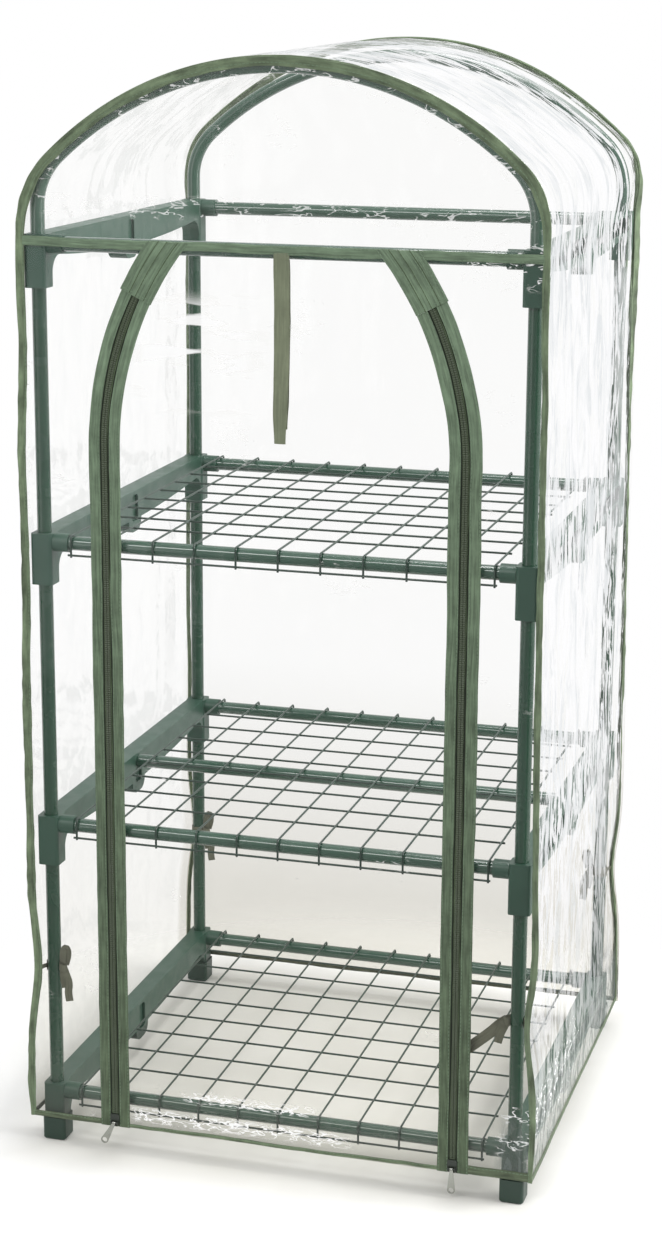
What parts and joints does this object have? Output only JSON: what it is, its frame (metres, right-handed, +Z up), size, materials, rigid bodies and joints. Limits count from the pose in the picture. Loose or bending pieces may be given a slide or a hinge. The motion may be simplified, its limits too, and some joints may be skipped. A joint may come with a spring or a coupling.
{
  "type": "tiered greenhouse",
  "caption": "Free-standing tiered greenhouse: tube frame with plastic side brackets, wire shelves and a clear arched film cover with a zipped door.",
  "frame": {"origin": "on the floor under the middle of the whole part", "axes": "+Z up, -Y towards the zipped door, +X to the right seen from the door"},
  "size_m": [0.589, 0.5471, 1.2509],
  "materials": {
    "tube": "dark green plastic-coated steel tube",
    "bracket": "dark green moulded plastic, satin",
    "wire": "dark green coated welded wire",
    "film": "clear soft plastic film, wrinkled and glossy",
    "binding": "olive green woven binding tape",
    "zip_tape": "olive green zip tape with a darker strip along the teeth",
    "slider": "dark enamelled metal",
    "pull": "bright nickel plate",
    "strap": "khaki olive woven ribbon"
  },
  "bodies": {
    "frame": {"bracket_left_bottom": "bracket", "bracket_left_lower": "bracket", "bracket_left_top": "bracket", "bracket_left_upper": "bracket", "bracket_right_bottom": "bracket", "bracket_right_lower": "bracket", "bracket_right_top": "bracket", "bracket_right_upper": "bracket", "corner_ties": "strap", "front_binding": "binding", "front_gable": "film", "front_strip_left": "film", "front_strip_right": "film", "header_tape": "binding", "hem_tape": "binding", "hoop_front_left": "tube", "hoop_front_right": "tube", "hoop_rear_left": "tube", "hoop_rear_right": "tube", "post_front_left_lower": "tube", "post_front_left_middle": "tube", "post_front_left_upper": "tube", "post_front_right_lower": "tube", "post_front_right_middle": "tube", "post_front_right_upper": "tube", "post_rear_left_lower": "tube", "post_rear_left_middle": "tube", "post_rear_left_upper": "tube", "post_rear_right_lower": "tube", "post_rear_right_middle": "tube", "post_rear_right_upper": "tube", "rail_front_bottom": "tube", "rail_front_lower": "tube", "rail_front_top": "tube", "rail_front_upper": "tube", "rail_middle_lower": "tube", "rail_rear_bottom": "tube", "rail_rear_lower": "tube", "rail_rear_top": "tube", "rail_rear_upper": "tube", "rear_binding": "binding", "rear_panel": "film", "roof": "film", "wall_left": "film", "wall_right": "film", "zip_patches": "binding", "zip_tapes_fixed": "zip_tape"},
    "door": {"door_film": "film", "door_hem": "binding", "zip_tapes_door": "zip_tape"},
    "slider_left": {"zip_slider_left": "slider"},
    "slider_right": {"zip_slider_right": "slider"},
    "pull_left": {"zip_pull_left": "pull"},
    "pull_right": {"zip_pull_right": "pull"},
    "outer_strap": {"strap_outer": "strap"},
    "inner_strap": {"strap_inner": "strap"},
    "bottom_shelf": {"shelf_bottom": "wire"},
    "lower_shelf": {"shelf_lower": "wire"},
    "upper_shelf": {"shelf_upper": "wire"}
  },
  "joints": [
    {"name": "door_swing", "type": "hinge", "parent": "frame", "child": "door", "pos_m": [0.006, -0.26795, 1.043], "axis": [-1, 0, 0], "range_deg": [0, 120]},
    {"name": "outer_strap_swing", "type": "hinge", "parent": "door", "child": "outer_strap", "pos_m": [0.006, -0.26775, 1.043], "axis": [-1, 0, 0], "range_deg": [0, 45]},
    {"name": "inner_strap_swing", "type": "hinge", "parent": "frame", "child": "inner_strap", "pos_m": [0.006, -0.26465, 1.043], "axis": [1, 0, 0], "range_deg": [0, 75]},
    {"name": "zip_left", "type": "slide", "parent": "door", "child": "slider_left", "axis": [0, 0, 1], "range_m": [0, 0.78]},
    {"name": "pull_left_swing", "type": "hinge", "parent": "slider_left", "child": "pull_left", "pos_m": [-0.196, -0.27195, 0.036], "axis": [-1, 0, 0], "range_deg": [0, 150]},
    {"name": "zip_right", "type": "slide", "parent": "door", "child": "slider_right", "axis": [0, 0, 1], "range_m": [0, 0.78]},
    {"name": "pull_right_swing", "type": "hinge", "parent": "slider_right", "child": "pull_right", "pos_m": [0.208, -0.27195, 0.036], "axis": [-1, 0, 0], "range_deg": [0, 150]},
    {"name": "bottom_shelf_lift", "type": "slide", "parent": "frame", "child": "bottom_shelf", "axis": [0, 0, 1], "range_m": [0, 0.06]},
    {"name": "lower_shelf_lift", "type": "slide", "parent": "frame", "child": "lower_shelf", "axis": [0, 0, 1], "range_m": [0, 0.06]},
    {"name": "upper_shelf_lift", "type": "slide", "parent": "frame", "child": "upper_shelf", "axis": [0, 0, 1], "range_m": [0, 0.06]}
  ]
}
